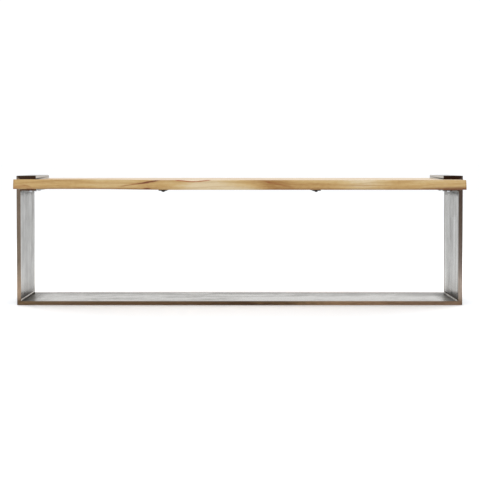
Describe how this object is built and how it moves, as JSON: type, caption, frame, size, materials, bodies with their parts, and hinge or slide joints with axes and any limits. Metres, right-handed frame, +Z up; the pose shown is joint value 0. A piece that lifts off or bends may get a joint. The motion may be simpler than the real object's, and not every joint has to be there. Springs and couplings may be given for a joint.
{
  "type": "entryway bench",
  "caption": "Long low bench: a solid wood slab clamped at its ends in a welded loop of raw steel flat bar, with cleats underneath.",
  "frame": {"origin": "on the floor, under the middle of the bench", "axes": "+X along the bench to the sitter's left as seen from the front, -Y towards the front, +Z up"},
  "size_m": [1.524, 0.406, 0.443],
  "materials": {
    "slab_wood": "satin clear coat over pale maple with brown streaks",
    "raw_steel": "raw flat bar, mottled grey faces with brown patina on the edges, clear coated",
    "weld_metal": "bright weld metal with heat marks beside it",
    "black_steel": "satin black powder coat",
    "black_fastener": "black oxide",
    "brass_insert": "plain brass",
    "zinc_fastener": "bright zinc plate"
  },
  "bodies": {
    "root": {"seat_slab": "slab_wood", "floor_plate": "raw_steel", "leg_plate_left": "raw_steel", "leg_plate_right": "raw_steel", "top_plate_left": "raw_steel", "top_plate_right": "raw_steel", "seat_plate_left": "raw_steel", "seat_plate_right": "raw_steel", "floor_weld_left": "weld_metal", "floor_weld_right": "weld_metal", "seat_weld_left": "weld_metal", "seat_weld_right": "weld_metal", "corner_weld_floor_left": "weld_metal", "corner_weld_floor_right": "weld_metal", "corner_weld_top_left": "weld_metal", "corner_weld_top_right": "weld_metal", "cleat_left": "black_steel", "cleat_right": "black_steel", "cleat_bolts": "black_fastener", "cleat_washers": "black_fastener", "cleat_inserts": "brass_insert", "seat_screws": "zinc_fastener", "seat_washers": "zinc_fastener"}
  },
  "joints": []
}
